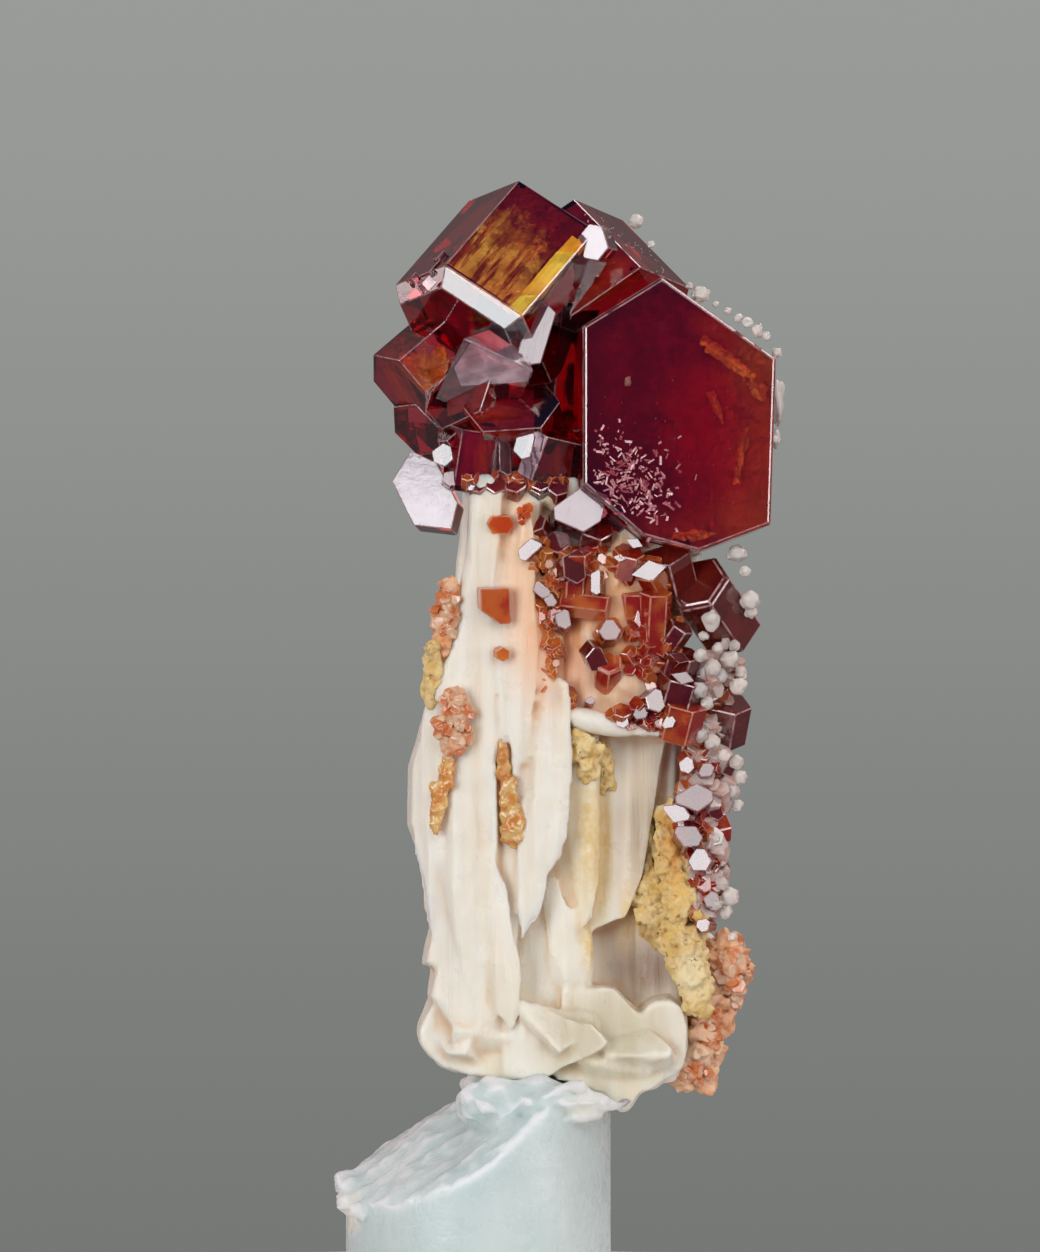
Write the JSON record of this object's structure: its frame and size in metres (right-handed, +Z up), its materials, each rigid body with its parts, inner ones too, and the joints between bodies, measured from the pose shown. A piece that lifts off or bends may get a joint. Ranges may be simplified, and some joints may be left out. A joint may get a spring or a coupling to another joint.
{
  "type": "mineral specimen",
  "caption": "Deep red hexagonal vanadinite crystals grown on a tall piece of white bladed barite, standing on the slant-cut end of a clear glue stick.",
  "frame": {"origin": "centre of the flat lower end of the glue stick", "axes": "+Z up along the stick, -Y the side that the picture shows, +X the side of the largest hexagonal crystal"},
  "size_m": [0.0186, 0.0123, 0.0468],
  "materials": {
    "vanadinite": "glossy translucent",
    "orange_druse": "satin",
    "ochre_crust": "matte",
    "barite": "satin",
    "glue": "translucent satin"
  },
  "bodies": {
    "root": {"crown_crystals": "vanadinite", "slope_crystals": "vanadinite", "flank_crystal_upper": "vanadinite", "flank_druse": "vanadinite", "face_crystal_red": "vanadinite", "face_crystal_amber": "vanadinite", "face_crystal_speck": "vanadinite", "back_crystal_upper": "vanadinite", "back_crystal_middle": "vanadinite", "back_crystal_low": "vanadinite", "foot_druse": "orange_druse", "shoulder_druse": "orange_druse", "rosette_patch": "orange_druse", "groove_patch": "orange_druse", "amber_patch": "ochre_crust", "ochre_crust": "ochre_crust", "barite_matrix": "barite", "holder_stick": "glue"}
  },
  "joints": []
}
